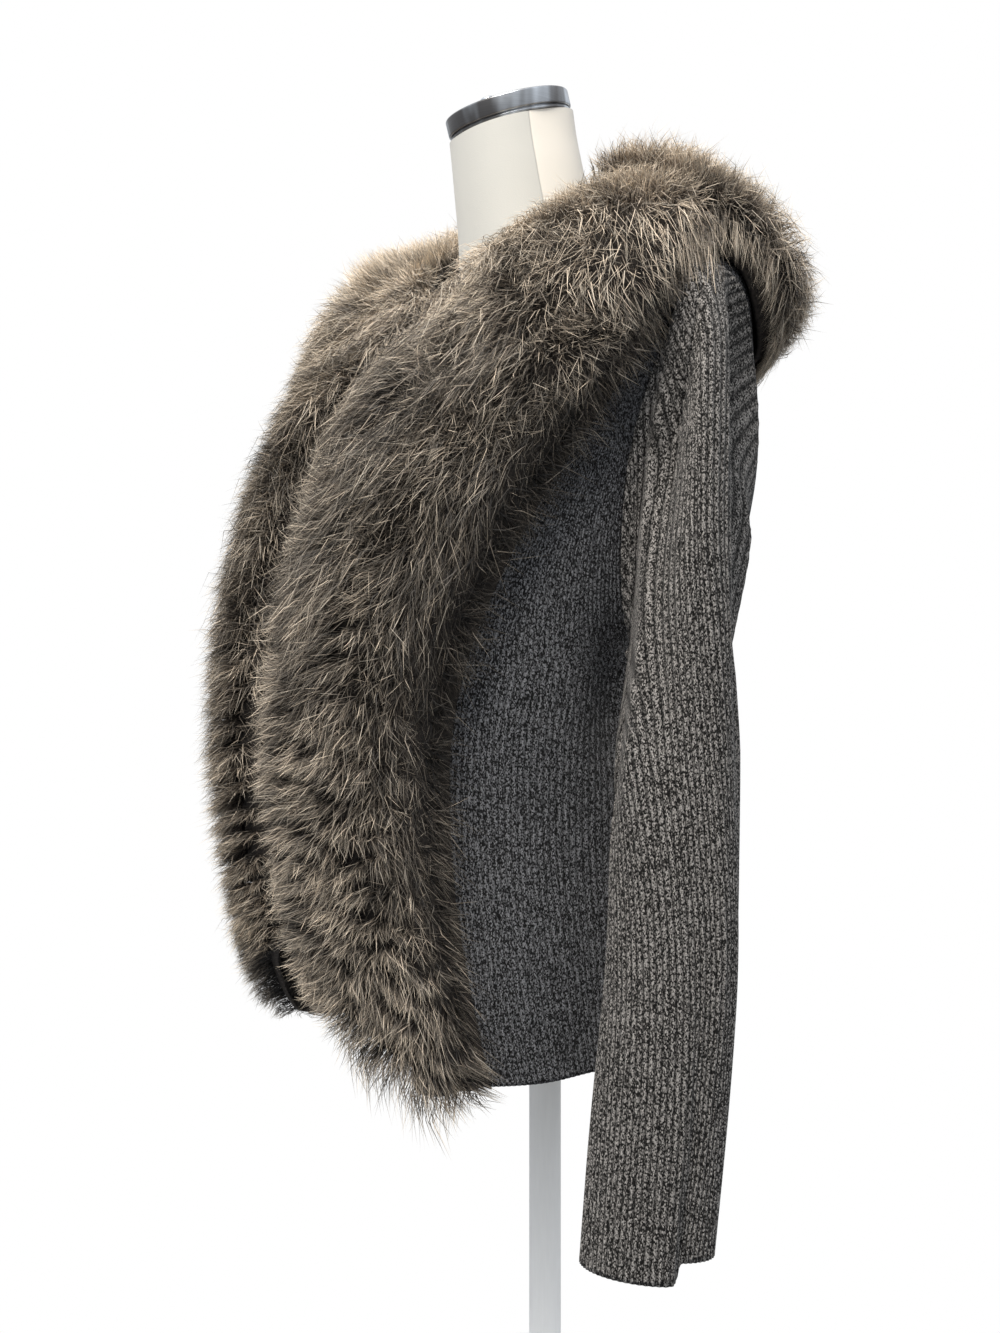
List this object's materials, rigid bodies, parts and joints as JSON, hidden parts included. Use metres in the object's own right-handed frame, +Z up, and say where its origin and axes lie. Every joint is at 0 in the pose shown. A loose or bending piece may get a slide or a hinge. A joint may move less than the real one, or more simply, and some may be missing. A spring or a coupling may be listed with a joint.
{
  "type": "sweater jacket on dress form",
  "caption": "Open-front rib-knit sweater jacket with wide knitted-fur fronts and shawl collar, on a cloth-covered dress form with metal neck cap, pole and round foot",
  "frame": {"origin": "middle of the underside of the round foot", "axes": "+Z up along the pole, -Y out of the open front of the jacket, +X towards the left sleeve as worn"},
  "size_m": [0.4325, 0.3799, 0.9455],
  "materials": {
    "knit": "charcoal melange fine-rib wool knit with light grey flecks",
    "fur": "knitted fur, dark brown roots and beige tips",
    "cover": "smooth cream cloth cover",
    "cap_metal": "dark satin metal",
    "stand": "white lacquer"
  },
  "bodies": {
    "root": {"jacket_back": "knit", "jacket_front_left": "knit", "jacket_front_right": "knit", "sleeve_left": "knit", "sleeve_right": "knit", "fur_front_left": "fur", "fur_front_right": "fur", "fur_collar": "fur", "form_torso": "cover", "form_neck_cap": "cap_metal", "form_cap_knob": "cap_metal", "form_pole": "stand", "form_foot": "stand"}
  },
  "joints": []
}
